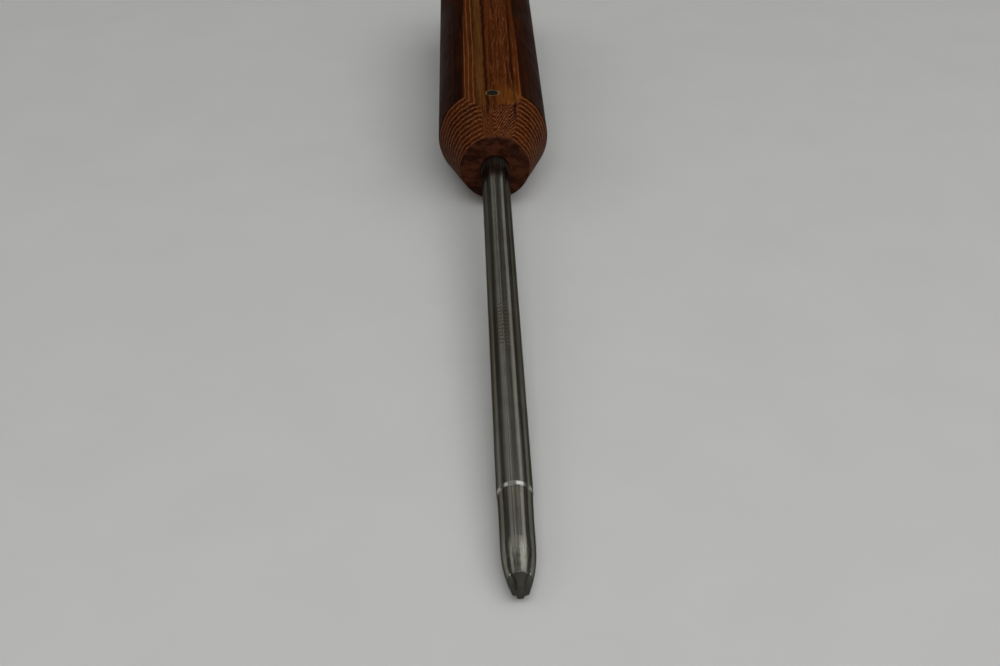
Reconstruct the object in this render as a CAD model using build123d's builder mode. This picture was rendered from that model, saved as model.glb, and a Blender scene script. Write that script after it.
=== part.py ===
from build123d import *
from math import cos, radians, sin, sqrt, tan
import os

# Cross-point screwdriver: a round steel blade, bedded and cross-pinned in a turned hardwood handle
# that has two opposite planed flats. All lengths are in millimetres.
#
# Frame: the tool's axis is the Y axis. The tip of the point is at the origin, the handle runs off
# towards +Y, and the handle's flats are level, one facing +Z and one facing -Z.

# ---- Blade: driving dimensions -------------------------------------------------------------------
shank_dia = 6.35  # quarter-inch round bar
free_length = 139.0  # from the tip to the front face of the handle
tang_dia = 6.0  # dressed down for the bedding, so the full-size bar stops at the handle
tang_length = 62.0  # the part of the bar inside the handle
tang_chamfer = 0.6

neck_dia = 5.9  # turned down to the body size of a number 2 point
swell_start = 17.5  # from here towards the handle the neck swells slowly
swell_dia = 6.1
neck_length = 22.9  # from the tip to the foot of the step
step_run = 0.7  # length of the chamfer that joins the neck to the bar

point_dia = 2.8  # blunt end of the point, across the wings
point_end_angle = 140.0  # included angle of the shallow cone on the blunt end
wing_curve_radius = 33.0  # long curve of the wings' outer edges, tangent to the neck

flute_root_radius = 0.85  # distance of a flute's root from the axis, at the end of the point
flute_root_width = 0.25
flute_angle = 92.0  # between a flute's two walls
flute_rise_angle = 5.75  # the root climbs away from the axis at this angle
flute_straight = 1.0  # length of the straight root, from the tip
flute_runout_radius = 3.5  # the cutter's lift at the end of a flute
flute_runout_turn = 60.0
flute_depth = 2.4  # height of the cutter's profile, enough to clear the wings

# ---- Handle: driving dimensions ------------------------------------------------------------------
handle_length = 118.0
nose_length = 16.0  # turned cone in front of the grip
nose_face_dia = 16.2
grip_front_dia = 26.4
grip_rear_dia = 25.6
flat_to_flat = 22.1
butt_height = 8.0  # domed rear end
flat_edge_radius = 0.35
nose_edge_radius = 0.3

bore_clearance = 0.05  # radial room for the bedding glue around the tang
bore_end_gap = 1.0
bore_mouth_chamfer = 0.4

# ---- Cross pin: driving dimensions ---------------------------------------------------------------
pin_dia = 2.7
pin_setback = 17.4  # from the front face of the handle to the pin's axis
pin_clearance = 0.03  # radial

# ---- Derived sizes -------------------------------------------------------------------------------
shank_r = shank_dia / 2
tang_r = tang_dia / 2
neck_r = neck_dia / 2
swell_r = swell_dia / 2
point_r = point_dia / 2
blade_length = free_length + tang_length
point_rise = point_r / tan(radians(point_end_angle / 2))
wing_height = neck_r - point_r
wing_top = point_rise + sqrt(wing_height * (2 * wing_curve_radius - wing_height))

face_y = free_length
grip_y = face_y + nose_length
butt_y = face_y + handle_length - butt_height
end_y = face_y + handle_length
flat_z = flat_to_flat / 2
pin_y = face_y + pin_setback


# ---- Blade ---------------------------------------------------------------------------------------
def flute_plane(angle):
    """Plane through the tool's axis: local x points away from the axis at angle, local y along it."""
    outward = Vector(cos(radians(angle)), 0, sin(radians(angle)))
    return Plane(origin=(0, 0, 0), x_dir=outward, z_dir=outward.cross(Vector(0, 1, 0)))


with BuildPart() as blade:
    with BuildSketch(Plane.XY):
        with BuildLine():
            RadiusArc((point_r, point_rise), (neck_r, wing_top), radius=-wing_curve_radius)
            Polyline(
                (neck_r, wing_top),
                (neck_r, swell_start),
                (swell_r, neck_length),
                (shank_r, neck_length + step_run),
                (shank_r, face_y),
                (tang_r, face_y),
                (tang_r, blade_length - tang_chamfer),
                (tang_r - tang_chamfer, blade_length),
                (0, blade_length),
                (0, 0),
                (point_r, point_rise),
            )
        make_face()
    revolve(axis=Axis.Y)

    # Four flutes leave four wings, which stand up, down, left and right.
    lead_in = 2.0
    rise = tan(radians(flute_rise_angle))
    for quarter in range(4):
        with BuildLine(flute_plane(45 + 90 * quarter)) as flute_root:
            straight = Line(
                (flute_root_radius - lead_in * rise, -lead_in),
                (flute_root_radius + flute_straight * rise, flute_straight),
            )
            JernArc(straight @ 1, straight % 1, radius=flute_runout_radius, arc_size=-flute_runout_turn)
        flute_start = Plane(
            origin=flute_root.line @ 0,
            x_dir=flute_plane(45 + 90 * quarter).z_dir,
            z_dir=flute_root.line % 0,
        )
        half_root = flute_root_width / 2
        half_mouth = half_root + flute_depth * tan(radians(flute_angle / 2))
        with BuildSketch(flute_start):
            with BuildLine():
                Polyline(
                    (-half_root, 0),
                    (half_root, 0),
                    (half_mouth, flute_depth),
                    (-half_mouth, flute_depth),
                    close=True,
                )
            make_face()
        sweep(path=flute_root.line, mode=Mode.SUBTRACT)

    with Locations((0, pin_y, 0)):
        Cylinder(radius=pin_dia / 2 + pin_clearance, height=2 * shank_dia, mode=Mode.SUBTRACT)

# ---- Handle --------------------------------------------------------------------------------------
with BuildPart() as handle:
    with BuildSketch(Plane.XY):
        with BuildLine():
            Polyline(
                (0, end_y),
                (0, face_y),
                (nose_face_dia / 2, face_y),
                (grip_front_dia / 2, grip_y),
                (grip_rear_dia / 2, butt_y),
            )
            dome_r = ((grip_rear_dia / 2) ** 2 + butt_height**2) / (2 * butt_height)
            RadiusArc((grip_rear_dia / 2, butt_y), (0, end_y), radius=-dome_r)
        make_face()
    revolve(axis=Axis.Y)

    split(bisect_by=Plane.XY.offset(flat_z), keep=Keep.BOTTOM)
    split(bisect_by=Plane.XY.offset(-flat_z), keep=Keep.TOP)
    flats = handle.faces().filter_by(Axis.Z)
    fillet(flats.edges(), radius=flat_edge_radius)
    front = handle.faces().filter_by(Axis.Y).sort_by(Axis.Y)[0]
    fillet(front.edges(), radius=nose_edge_radius)

    with Locations(Plane(origin=(0, face_y, 0), z_dir=(0, -1, 0))):
        Hole(radius=tang_r + bore_clearance, depth=tang_length + bore_end_gap)
    mouth = handle.edges().filter_by(GeomType.CIRCLE).group_by(Axis.Y)[0].sort_by(SortBy.RADIUS)[0]
    chamfer(mouth, length=bore_mouth_chamfer)

    with Locations((0, pin_y, flat_z)):
        Hole(radius=pin_dia / 2 + pin_clearance)

# ---- Cross pin -----------------------------------------------------------------------------------
with BuildPart() as cross_pin:
    with Locations((0, pin_y, 0)):
        Cylinder(radius=pin_dia / 2, height=flat_to_flat)

# ---- Files ---------------------------------------------------------------------------------------
blade.part.label = "blade"
handle.part.label = "handle"
cross_pin.part.label = "cross_pin"

os.makedirs("parts", exist_ok=True)
export_step(blade.part, "parts/blade.step")
export_step(handle.part, "parts/handle.step")
export_step(cross_pin.part, "parts/cross_pin.step")
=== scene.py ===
import bpy
from math import atan2, pi, radians
from mathutils import Euler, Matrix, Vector


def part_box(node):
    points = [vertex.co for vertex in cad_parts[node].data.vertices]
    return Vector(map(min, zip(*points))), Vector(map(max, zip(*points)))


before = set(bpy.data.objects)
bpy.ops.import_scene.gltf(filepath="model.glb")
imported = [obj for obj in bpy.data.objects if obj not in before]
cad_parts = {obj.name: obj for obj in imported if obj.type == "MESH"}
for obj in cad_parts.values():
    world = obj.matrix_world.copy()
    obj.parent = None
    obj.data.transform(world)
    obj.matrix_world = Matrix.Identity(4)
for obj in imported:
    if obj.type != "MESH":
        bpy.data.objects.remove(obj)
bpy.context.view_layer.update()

# Cross-point screwdriver lying on a pale bench: steel blade, dark banded hardwood handle, steel cross pin.
# The scene is in metres. The materials measure in millimetres along the tool's own axes: Y runs from the
# point to the butt, X is sideways, and Z is square to the handle's flats.
MM = 0.001

# ---- Sizes read from the frame, in millimetres ---------------------------------------------------
blade_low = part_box("blade")[0]
handle_low, handle_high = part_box("handle")
pin_low, pin_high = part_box("cross_pin")

tip_place = blade_low.y / MM
grip_radius = handle_high.x / MM
flat_height = handle_high.z / MM
face_place = handle_low.y / MM
butt_place = handle_high.y / MM
pin_place = (pin_low.y + pin_high.y) / 2 / MM
pin_radius = (pin_high.x - pin_low.x) / 2 / MM

# ---- Sizes that the boxes don't give, as the part's source has them ------------------------------
neck_radius = 2.95
wing_top = tip_place + 10.5
wing_curve_radius = 33.0
nose_length = 16.0
nose_face_radius = 8.1
grip_rear_radius = 12.8
nose_run = nose_length / (grip_radius - nose_face_radius)  # length of the cone for each unit of its rise
flat_front = face_place + nose_run * (flat_height - nose_face_radius)

# ---- Where the finishes change, in millimetres ---------------------------------------------------
black_edge = tip_place + 3.25  # the blackened end reaches this far up the point
step_highlight_place = tip_place + 23.22  # middle of the painted highlight on the step between neck and bar
step_highlight_half_width = 0.32
ticks_place = tip_place + 70.6  # middle of the etched ticks
ticks_half_length = 7.5
tick_spacing = 1.2
handle_shade_length = 1.4  # painted shade on the bar, in front of the handle
clean_grain_front = face_place + 10.6  # the flat's own grain starts a little behind its front edge
tan_band_side = -3.0
left_gum_side = -1.4
right_gum_side = 5.1
rim_width = 0.55  # chipped wood round the pin's hole


# ---- Node helpers --------------------------------------------------------------------------------
class Nodes:
    """Short names for making the nodes of one tree, a material's or a group's."""

    def __init__(self, tree):
        self.tree = tree

    def add(self, kind, **settings):
        node = self.tree.nodes.new(kind)
        for name, value in settings.items():
            setattr(node, name, value)
        return node

    def feed(self, value, socket):
        """Links an output into a socket, or writes a plain number, vector or colour on it."""
        if isinstance(value, bpy.types.NodeSocket):
            self.tree.links.new(value, socket)
        else:
            socket.default_value = value

    def feed_all(self, values, sockets):
        for value, socket in zip(values, sockets):
            self.feed(value, socket)

    def math(self, operation, *values):
        node = self.add("ShaderNodeMath", operation=operation)
        self.feed_all(values, node.inputs)
        return node.outputs[0]

    def plus(self, a, b):
        return self.math("ADD", a, b)

    def minus(self, a, b):
        return self.math("SUBTRACT", a, b)

    def times(self, a, b):
        return self.math("MULTIPLY", a, b)

    def over(self, a, b):
        return self.math("DIVIDE", a, b)

    def larger(self, a, b):
        return self.math("MAXIMUM", a, b)

    def smaller(self, a, b):
        return self.math("MINIMUM", a, b)

    def distance(self, a, b):
        """Length of the diagonal across two lengths at right angles."""
        return self.math("SQRT", self.plus(self.times(a, a), self.times(b, b)))

    def push(self, noise, amount):
        """A noise from 0 to 1, turned into a push of up to half the amount to either side."""
        return self.times(self.minus(noise, 0.5), amount)

    def ramp(self, value, low, high, to_low=0.0, to_high=1.0):
        """Smooth rise from to_low to to_high while value goes from low to high."""
        node = self.add("ShaderNodeMapRange", interpolation_type="SMOOTHSTEP")
        self.feed_all((value, low, high, to_low, to_high), node.inputs)
        return node.outputs["Result"]

    def slope(self, value, low, high):
        """Straight rise from 0 to 1 while value goes from low to high."""
        node = self.add("ShaderNodeMapRange")
        self.feed_all((value, low, high), node.inputs)
        return node.outputs["Result"]

    def band(self, value, middle, half_width, soft):
        """1 within half_width of the middle, falling off to 0 over soft."""
        away = self.math("ABSOLUTE", self.minus(value, middle))
        return self.ramp(away, half_width + soft, half_width)

    def vector(self, operation, a, b):
        node = self.add("ShaderNodeVectorMath", operation=operation)
        self.feed_all((a, b), node.inputs)
        return node.outputs[0]

    def scaled(self, vector, factors):
        return self.vector("MULTIPLY", vector, factors)

    def axes(self, vector):
        node = self.add("ShaderNodeSeparateXYZ")
        self.feed(vector, node.inputs[0])
        return node.outputs

    def noise(self, vector, scale, detail, roughness):
        node = self.add("ShaderNodeTexNoise")
        self.feed(vector, node.inputs["Vector"])
        self.feed(scale, node.inputs["Scale"])
        self.feed(detail, node.inputs["Detail"])
        self.feed(roughness, node.inputs["Roughness"])
        return node.outputs["Fac"]

    def mix(self, factor, a, b, blend="MIX"):
        """One colour over another."""
        node = self.add("ShaderNodeMix", data_type="RGBA", blend_type=blend)
        self.feed_all((factor, a, b), (node.inputs[0], node.inputs[6], node.inputs[7]))
        return node.outputs[2]

    def mix_values(self, factor, a, b):
        """One plain value over another."""
        node = self.add("ShaderNodeMix", data_type="FLOAT")
        self.feed_all((factor, a, b), (node.inputs[0], node.inputs[2], node.inputs[3]))
        return node.outputs[0]

    def bump(self, height, strength, depth):
        """A normal from a height, with the depth in millimetres."""
        node = self.add("ShaderNodeBump")
        node.inputs["Strength"].default_value = strength
        node.inputs["Distance"].default_value = depth * MM
        self.feed(height, node.inputs["Height"])
        return node.outputs["Normal"]

    def group(self, tree, **inputs):
        node = self.add("ShaderNodeGroup", node_tree=tree)
        for name, value in inputs.items():
            self.feed(value, node.inputs[name.replace("_", " ")])
        return node.outputs


def colour(red, green, blue):
    """A colour written in the 0 to 255 that a paint chart uses, as the linear values that a shader takes."""
    def linear(level):
        share = level / 255
        return share / 12.92 if share <= 0.04045 else ((share + 0.055) / 1.055) ** 2.4
    return (linear(red), linear(green), linear(blue), 1.0)


def new_group(name, inputs, outputs):
    """A shader node group. Each input is a name, a kind and a value, and each output a name and a kind."""
    tree = bpy.data.node_groups.new(name, "ShaderNodeTree")
    for label, kind, value in inputs:
        socket = tree.interface.new_socket(name=label, in_out="INPUT", socket_type="NodeSocket" + kind)
        if value is not None:
            socket.default_value = value
    for label, kind in outputs:
        tree.interface.new_socket(name=label, in_out="OUTPUT", socket_type="NodeSocket" + kind)
    nodes = Nodes(tree)
    return tree, nodes, nodes.add("NodeGroupInput").outputs, nodes.add("NodeGroupOutput").inputs


def new_material(name):
    """A material with its Principled shader, and the place on the tool in millimetres."""
    material = bpy.data.materials.new(name)
    material.use_nodes = True
    nodes = Nodes(material.node_tree)
    shader = material.node_tree.nodes["Principled BSDF"]
    place = nodes.scaled(nodes.add("ShaderNodeTexCoord").outputs["Object"], (1000.0, 1000.0, 1000.0))
    return material, nodes, shader, place


def paint(node_name, material):
    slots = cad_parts[node_name].data.materials
    slots.clear()
    slots.append(material)


# ---- Effects that several finishes share ---------------------------------------------------------
def make_lengthwise_lines():
    """Fine lines along the tool's axis: scratches on the steel, pores in the wood."""
    tree, nodes, given, out = new_group(
        "lengthwise lines",
        [
            ("Place", "Vector", None),
            ("Line Width", "Float", 0.3),
            ("Line Length", "Float", 20.0),
            ("Seed", "Float", 0.0),
        ],
        [("Fine", "Float"), ("Broad", "Float")],
    )
    across = nodes.over(1.0, given["Line Width"])
    along = nodes.over(1.0, given["Line Length"])
    squeeze = nodes.add("ShaderNodeCombineXYZ")
    nodes.feed_all((across, along, across), squeeze.inputs)
    stretched = nodes.scaled(given["Place"], squeeze.outputs[0])
    shifted = nodes.vector("ADD", stretched, given["Seed"])
    nodes.feed(nodes.noise(shifted, 1.0, 3.0, 0.6), out["Fine"])
    nodes.feed(nodes.noise(shifted, 0.3, 2.0, 0.5), out["Broad"])
    return tree


def make_handling():
    """Soft smudges and patches left by hands and storage."""
    tree, nodes, given, out = new_group(
        "handling marks",
        [("Place", "Vector", None), ("Patch Size", "Float", 12.0), ("Seed", "Float", 0.0)],
        [("Patches", "Float")],
    )
    shifted = nodes.vector("ADD", given["Place"], given["Seed"])
    patches = nodes.noise(shifted, nodes.over(1.0, given["Patch Size"]), 4.0, 0.55)
    nodes.feed(nodes.ramp(patches, 0.35, 0.65), out["Patches"])
    return tree


lengthwise_lines = make_lengthwise_lines()
handling_marks = make_handling()


# ---- Wood ----------------------------------------------------------------------------------------
def make_growth_figure():
    """Growth rings round the tool's axis, with the cleft where they dip in under each flat."""
    tree, nodes, given, out = new_group(
        "growth figure",
        [("Place", "Vector", None), ("Ring Spacing", "Float", 0.455), ("Cleft Depth", "Float", 3.8)],
        [("Pale Line", "Float"), ("Ring Tone", "Float"), ("Radius", "Float")],
    )
    x, y, z = nodes.axes(given["Place"])
    radius = nodes.distance(x, z)
    drift = nodes.noise(nodes.scaled(given["Place"], (0.12, 0.015, 0.12)), 1.0, 2.0, 0.5)
    ripple = nodes.noise(nodes.scaled(given["Place"], (1.5, 0.16, 1.5)), 1.0, 2.0, 0.6)
    turn = nodes.plus(nodes.math("ARCTAN2", z, x), nodes.push(drift, 0.3))

    def cleft(left, left_bottom, right_bottom, right):
        """1 at the bottom of the cleft, falling to 0 at its two sides; the angles are in degrees."""
        left_side = nodes.slope(turn, radians(left), radians(left_bottom))
        right_side = nodes.slope(turn, radians(right), radians(right_bottom))
        return nodes.smaller(left_side, right_side)

    dip = nodes.larger(cleft(107, 92, 88, 60), cleft(-73, -88, -92, -120))
    depth = nodes.times(dip, given["Cleft Depth"])
    waver = nodes.push(ripple, nodes.ramp(dip, 0.0, 0.5, 0.3, 1.1))
    growth = nodes.plus(nodes.plus(radius, depth), nodes.plus(nodes.push(drift, 0.7), waver))
    ring_count = nodes.over(growth, given["Ring Spacing"])
    wave = nodes.math("SINE", nodes.times(ring_count, 2 * pi))
    tone = nodes.add("ShaderNodeTexWhiteNoise", noise_dimensions="1D")
    nodes.feed(nodes.math("FLOOR", nodes.times(ring_count, 0.5)), tone.inputs["W"])
    nodes.feed(nodes.ramp(wave, 0.25, 0.95), out["Pale Line"])
    nodes.feed(tone.outputs["Value"], out["Ring Tone"])
    nodes.feed(radius, out["Radius"])
    return tree


def heartwood(nodes, x, figure, pores, on_flat):
    """Dark between the pale growth lines, paler and redder in some years, with weaker lines on the flat."""
    ground = nodes.mix(figure["Ring Tone"], colour(42, 14, 3), colour(66, 27, 6))
    ground = nodes.mix(nodes.ramp(pores["Broad"], 0.35, 0.7), ground, colour(74, 34, 9))
    nose_strength = nodes.ramp(pores["Fine"], 0.35, 0.6, 1.0, 0.7)
    flat_strength = nodes.ramp(nodes.math("ABSOLUTE", x), 1.5, 6.0, 0.32, 0.62)
    line_strength = nodes.mix_values(on_flat, nose_strength, flat_strength)
    return nodes.mix(nodes.times(figure["Pale Line"], line_strength), ground, colour(114, 71, 42))


def streaks(nodes, place, body, pores, on_flat):
    """A tan band and two dark gum streaks along the upper flat, and orange wood at its front, by the pin."""
    x, y, z = nodes.axes(place)
    sway = nodes.noise(nodes.scaled(place, (0.0, 0.2, 0.0)), 1.0, 3.0, 0.65)
    side = nodes.plus(x, nodes.push(sway, 1.3))
    tan_band = nodes.times(nodes.band(side, tan_band_side, 0.6, 0.6), on_flat)
    body = nodes.mix(nodes.times(tan_band, 0.5), body, colour(88, 58, 24))

    # The gum runs on over the top of the nose.
    on_nose_top = nodes.times(nodes.ramp(y, face_place + 6.5, face_place + 9.5), nodes.ramp(z, 6.0, 8.0))
    left_gum = nodes.band(side, left_gum_side, 0.16, 0.35)
    right_gum = nodes.band(side, right_gum_side, 0.14, 0.35)
    gum = nodes.times(nodes.larger(left_gum, right_gum), nodes.larger(on_flat, on_nose_top))
    gum = nodes.times(gum, nodes.ramp(pores["Broad"], 0.35, 0.65, 1.0, 0.6))
    body = nodes.mix(gum, body, colour(34, 11, 2))

    by_pin = nodes.times(nodes.ramp(y, pin_place + 9.0, pin_place - 2.0), on_flat)
    orange = nodes.times(nodes.times(by_pin, nodes.ramp(x, 0.3, 2.2)), 0.5)
    return nodes.mix(orange, body, colour(108, 60, 16))


def grip_skin(nodes, y, figure, pores, hands):
    """The old dark finish on the outside of the grip, which the nose and the flats are cut through."""
    grip_surface = nodes.ramp(y, face_place + nose_length, butt_place - 8.0, grip_radius, grip_rear_radius)
    under_surface = nodes.minus(grip_surface, figure["Radius"])
    skin = nodes.ramp(nodes.plus(under_surface, nodes.push(pores["Fine"], 0.25)), 0.28, 0.05)
    tint = nodes.mix(nodes.ramp(pores["Broad"], 0.3, 0.7), colour(18, 4, 0), colour(38, 12, 2))
    tint = nodes.mix(nodes.ramp(pores["Fine"], 0.5, 0.7, 0.0, 0.7), tint, colour(58, 24, 8))
    worn_through = nodes.times(nodes.ramp(hands["Patches"], 0.3, 1.0, 0.0, 0.22), figure["Pale Line"])
    return skin, nodes.mix(worn_through, tint, colour(84, 40, 16))


def front_end_grain(nodes, place, figure):
    """End grain on the front face, which drinks the varnish and goes darker."""
    y = nodes.axes(place)["Y"]
    end_grain = nodes.ramp(y, face_place + 0.5, face_place + 0.1)
    cloud = nodes.noise(nodes.scaled(place, (0.35, 0.35, 0.6)), 1.0, 3.0, 0.6)
    tint = nodes.mix(nodes.ramp(cloud, 0.35, 0.65), colour(33, 15, 9), colour(58, 30, 19))
    arcs = nodes.times(figure["Pale Line"], nodes.ramp(cloud, 0.4, 0.6, 0.1, 0.5))
    return end_grain, nodes.mix(arcs, tint, colour(72, 42, 26))


def chipped_rim(nodes, x, y, pores):
    """Pale chipped rim, filled with glue, round the pin's hole."""
    from_pin = nodes.distance(x, nodes.minus(y, pin_place))
    near_hole = nodes.ramp(from_pin, pin_radius + rim_width, pin_radius + 0.2)
    return nodes.times(near_hole, nodes.ramp(pores["Fine"], 0.4, 0.6, 0.25, 0.9))


def make_handle_wood():
    material, nodes, shader, place = new_material("varnished dark hardwood")
    x, y, z = nodes.axes(place)
    figure = nodes.group(make_growth_figure(), Place=place)
    pores = nodes.group(lengthwise_lines, Place=place, Line_Width=0.32, Line_Length=14.0, Seed=3.0)
    hands = nodes.group(handling_marks, Place=place, Patch_Size=14.0, Seed=8.0)
    on_flat = nodes.times(
        nodes.ramp(z, flat_height - 0.5, flat_height - 0.05),
        nodes.ramp(y, clean_grain_front, clean_grain_front + 1.2),
    )

    body = heartwood(nodes, x, figure, pores, on_flat)
    body = streaks(nodes, place, body, pores, on_flat)
    open_pores = nodes.ramp(pores["Fine"], 0.5, 0.66, 0.0, 0.5)
    body = nodes.mix(open_pores, body, colour(38, 14, 3))

    # The turned nose has drunk more oil than the flats.
    oiled = nodes.mix(on_flat, colour(230, 230, 232), colour(250, 255, 255))
    body = nodes.mix(1.0, body, oiled, "MULTIPLY")

    skin, skin_tint = grip_skin(nodes, y, figure, pores, hands)
    end_grain, end_tint = front_end_grain(nodes, place, figure)
    finished = nodes.mix(skin, body, skin_tint)
    finished = nodes.mix(end_grain, finished, end_tint)
    finished = nodes.mix(chipped_rim(nodes, x, y, pores), finished, colour(104, 84, 52))
    nodes.feed(finished, shader.inputs["Base Color"])

    nodes.feed(nodes.ramp(hands["Patches"], 0.0, 1.0, 0.42, 0.55), shader.inputs["Roughness"])
    varnish = nodes.ramp(nodes.larger(end_grain, skin), 0.0, 1.0, 0.04, 0.012)
    nodes.feed(varnish, shader.inputs["Coat Weight"])
    shader.inputs["Specular IOR Level"].default_value = 0.006
    shader.inputs["Coat Roughness"].default_value = 0.14
    relief = nodes.minus(nodes.times(figure["Pale Line"], 0.5), open_pores)
    nodes.feed(nodes.bump(relief, 0.35, 0.03), shader.inputs["Normal"])
    return material


# ---- Steel ---------------------------------------------------------------------------------------
def cut_flutes(nodes, x, y, z):
    """Where the cutter has gone in below the wings' outer edges."""
    below_top = nodes.larger(nodes.minus(wing_top, y), 0.0)
    fall = nodes.over(nodes.times(below_top, below_top), 2 * wing_curve_radius)
    wing_edge = nodes.minus(neck_radius, fall)
    depth = nodes.minus(wing_edge, nodes.distance(x, z))
    on_point = nodes.ramp(y, wing_top + 3.0, wing_top + 2.0)
    return nodes.times(nodes.ramp(depth, 0.03, 0.12), on_point)


def etched_ticks(nodes, x, y, z):
    """Fine ticks on top of the bar, in two short columns."""
    along_spacing = nodes.math("FRACT", nodes.over(y, tick_spacing))

    def column(middle, half_width, share):
        """Ticks side by side along the bar, each at the same share of its spacing."""
        return nodes.times(
            nodes.band(x, middle, half_width, 0.08),
            nodes.band(along_spacing, share, 0.1, 0.08),
        )

    columns = nodes.larger(column(-0.9, 0.42, 0.35), column(0.35, 0.36, 0.75))
    columns = nodes.times(columns, nodes.band(y, ticks_place, ticks_half_length, 0.1))
    return nodes.times(columns, nodes.ramp(z, 0.0, 1.0))


def make_blade_steel():
    material, nodes, shader, place = new_material("ground blade steel")
    x, y, z = nodes.axes(place)
    lines = nodes.group(lengthwise_lines, Place=place, Line_Width=0.22, Line_Length=40.0, Seed=11.0)
    hands = nodes.group(handling_marks, Place=place, Patch_Size=9.0, Seed=21.0)
    flutes = cut_flutes(nodes, x, y, z)
    ticks = etched_ticks(nodes, x, y, z)

    finished = nodes.mix(nodes.ramp(lines["Fine"], 0.3, 0.7), colour(136, 135, 125), colour(168, 167, 157))
    finished = nodes.mix(nodes.times(hands["Patches"], 0.35), finished, colour(128, 116, 98))

    # The flutes stay dark and unpolished, and the step at the end of the neck gets a pale band of painted
    # highlight.
    finished = nodes.mix(nodes.times(flutes, 0.95), finished, colour(40, 39, 35))
    step_highlight = nodes.times(nodes.band(y, step_highlight_place, step_highlight_half_width, 0.3), 0.7)
    finished = nodes.mix(step_highlight, finished, colour(226, 225, 214))

    # The end of the point is blackened, with a clean edge straight across.
    edge = nodes.plus(y, nodes.push(lines["Fine"], 0.25))
    black = nodes.ramp(edge, black_edge, black_edge - 0.35)
    finished = nodes.mix(black, finished, colour(58, 56, 51))
    finished = nodes.mix(nodes.times(ticks, 0.95), finished, colour(40, 30, 18))

    # Painted shade darkens the bar where it goes into the handle.
    painted_handle_shade = nodes.ramp(y, face_place - handle_shade_length, face_place - 0.8, 0.0, 0.45)
    finished = nodes.mix(painted_handle_shade, finished, colour(72, 70, 74))
    nodes.feed(finished, shader.inputs["Base Color"])

    covered = nodes.larger(nodes.times(black, 0.6), ticks)
    nodes.feed(nodes.ramp(covered, 0.0, 1.0, 1.0, 0.1), shader.inputs["Metallic"])
    worn = nodes.ramp(lines["Fine"], 0.3, 0.7, 0.15, 0.24)
    at_handle = nodes.ramp(y, face_place - 6.0, face_place - 1.0, 0.0, 0.5)
    dull = nodes.larger(nodes.larger(black, ticks), nodes.larger(flutes, at_handle))
    nodes.feed(nodes.plus(worn, nodes.times(dull, 0.3)), shader.inputs["Roughness"])
    shader.inputs["Specular Tint"].default_value = (0.17, 0.17, 0.17, 1.0)
    nodes.feed(nodes.bump(nodes.minus(lines["Fine"], ticks), 0.15, 0.01), shader.inputs["Normal"])
    return material


def make_pin_steel():
    material, nodes, shader, place = new_material("sanded pin steel")
    lines = nodes.group(lengthwise_lines, Place=place, Line_Width=0.12, Line_Length=2.5, Seed=31.0)
    hands = nodes.group(handling_marks, Place=place, Patch_Size=1.6, Seed=41.0)
    bare = nodes.mix(nodes.ramp(lines["Fine"], 0.35, 0.65), colour(14, 13, 6), colour(31, 29, 18))
    finished = nodes.mix(nodes.times(hands["Patches"], 0.4), bare, colour(52, 46, 36))
    nodes.feed(finished, shader.inputs["Base Color"])
    nodes.feed(nodes.ramp(lines["Fine"], 0.3, 0.7, 0.4, 0.55), shader.inputs["Roughness"])
    shader.inputs["Metallic"].default_value = 0.8
    shader.inputs["Specular IOR Level"].default_value = 0.05
    nodes.feed(nodes.bump(lines["Fine"], 0.4, 0.01), shader.inputs["Normal"])
    return material


paint("handle", make_handle_wood())
paint("blade", make_blade_steel())
paint("cross_pin", make_pin_steel())


# ---- Bench ---------------------------------------------------------------------------------------
def make_bench():
    """Pale bench top. The tool rests on the neck near the point and on the front edge of its lower flat."""
    front_rest = Vector((0, 9.0, -2.93)) * MM
    rear_rest = Vector((0, flat_front, -flat_height)) * MM
    along = rear_rest - front_rest
    half = 4.0
    mesh = bpy.data.meshes.new("bench")
    corners = [(-half, -half, 0), (half, -half, 0), (half, half, 0), (-half, half, 0)]
    mesh.from_pydata(corners, [], [(0, 1, 2, 3)])
    bench = bpy.data.objects.new("bench", mesh)
    bench.location = front_rest
    bench.rotation_euler = Euler((atan2(along.z, along.y), 0, 0))
    bpy.context.scene.collection.objects.link(bench)
    material, nodes, shader, place = new_material("pale bench top")
    faint = nodes.noise(place, 0.05, 3.0, 0.5)
    finished = nodes.mix(faint, colour(178, 178, 177), colour(184, 184, 183))
    nodes.feed(finished, shader.inputs["Base Color"])
    shader.inputs["Roughness"].default_value = 0.9
    shader.inputs["Specular IOR Level"].default_value = 0.2
    mesh.materials.append(material)


make_bench()


# ---- Light ---------------------------------------------------------------------------------------
def make_soft_box(name, power, place, turn, width, length, mirrored=True):
    """A soft lamp, in watts, metres and degrees. The steel mirrors it unless mirrored is False."""
    data = bpy.data.lights.new(name, "AREA")
    data.shape = "RECTANGLE"
    data.size = width
    data.size_y = length
    data.energy = power
    lamp = bpy.data.objects.new(name, data)
    lamp.location = place
    lamp.rotation_euler = Euler([radians(angle) for angle in turn])
    lamp.visible_camera = False
    lamp.visible_glossy = mirrored
    bpy.context.scene.collection.objects.link(lamp)


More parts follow.
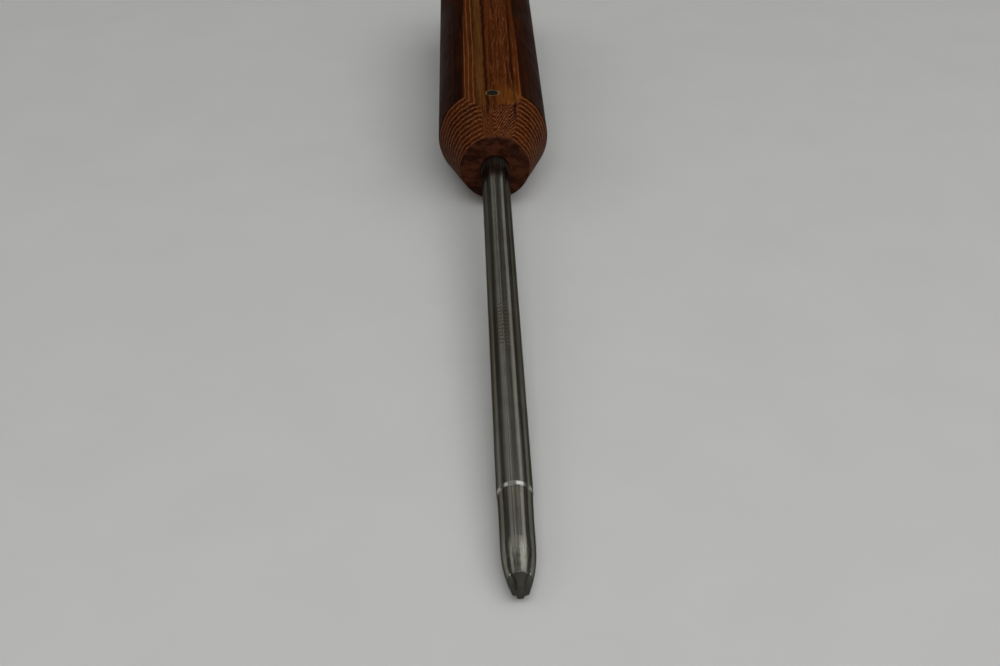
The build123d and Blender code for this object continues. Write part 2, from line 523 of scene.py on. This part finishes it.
def make_room():
    """Soft light from above and from behind the camera, dim walls, and a pale floor beyond the bench."""
    world = bpy.data.worlds.new("studio")
    world.use_nodes = True
    nodes = Nodes(world.node_tree)
    direction = nodes.axes(nodes.add("ShaderNodeTexCoord").outputs["Generated"])
    height = direction["Z"]
    towards_light = nodes.minus(height, nodes.times(direction["Y"], 0.75))
    room = nodes.mix(nodes.ramp(height, 0.1, 0.6), (0.06, 0.06, 0.058, 1.0), (0.10, 0.10, 0.096, 1.0))
    room = nodes.mix(nodes.ramp(towards_light, 0.35, 1.05), room, (0.34, 0.34, 0.33, 1.0))
    room = nodes.mix(nodes.ramp(height, 0.014, 0.004), room, (0.37, 0.37, 0.365, 1.0))
    nodes.feed(room, world.node_tree.nodes["Background"].inputs["Color"])
    bpy.context.scene.world = world


# The main light stands behind the camera, a little to the right. The dim boxes over the tool's far end
# are what the bright steel picks up as long streaks.
make_soft_box("main_box", 14.2, (0.20, -0.75, 0.85), (10, 13, 0), 1.4, 1.3)
make_soft_box("left_strip", 0.55, (-0.574, 1.7, 0.819), (0, -35, 0), 0.4, 1.8)
make_soft_box("thin_strip", 0.26, (-0.242, 1.9, 0.970), (0, -14, 0), 0.035, 2.0)
make_soft_box("right_strip", 1.0, (0.707, 1.7, 0.707), (0, 45, 0), 0.35, 1.8)
make_soft_box("near_left", 0.24, (-0.75, 0.65, 0.66), (0, -49, 0), 0.35, 0.5)
make_soft_box("near_strip", 0.86, (0.50, 0.65, 0.87), (0, 30, 0), 0.75, 0.5)
make_soft_box("near_panel", 0.32, (0.0, 0.80, 0.95), (-40, 0, 0), 1.2, 0.3)

# Two wide lamps out at the sides keep the rest of the bench pale and fill the shadows.
make_soft_box("left_fill", 20.0, (-3.2, 0.0, 2.4), (0, -20, 0), 2.5, 2.5, mirrored=False)
make_soft_box("right_fill", 20.0, (3.2, 0.0, 2.4), (0, 20, 0), 2.5, 2.5, mirrored=False)
make_room()
bpy.context.scene.view_settings.view_transform = "Standard"


# ---- Camera --------------------------------------------------------------------------------------
def make_camera():
    """The camera looks down along the tool from in front of the point."""
    data = bpy.data.cameras.new("camera")
    data.sensor_width = 36.0
    data.lens = 52.58
    data.clip_end = 50.0
    camera = bpy.data.objects.new("camera", data)
    camera.location = (-7.37 * MM, -163.49 * MM, 164.06 * MM)
    camera.rotation_euler = Euler((radians(55.10), radians(0.398), radians(-1.834)))
    bpy.context.scene.collection.objects.link(camera)
    bpy.context.scene.camera = camera


make_camera()
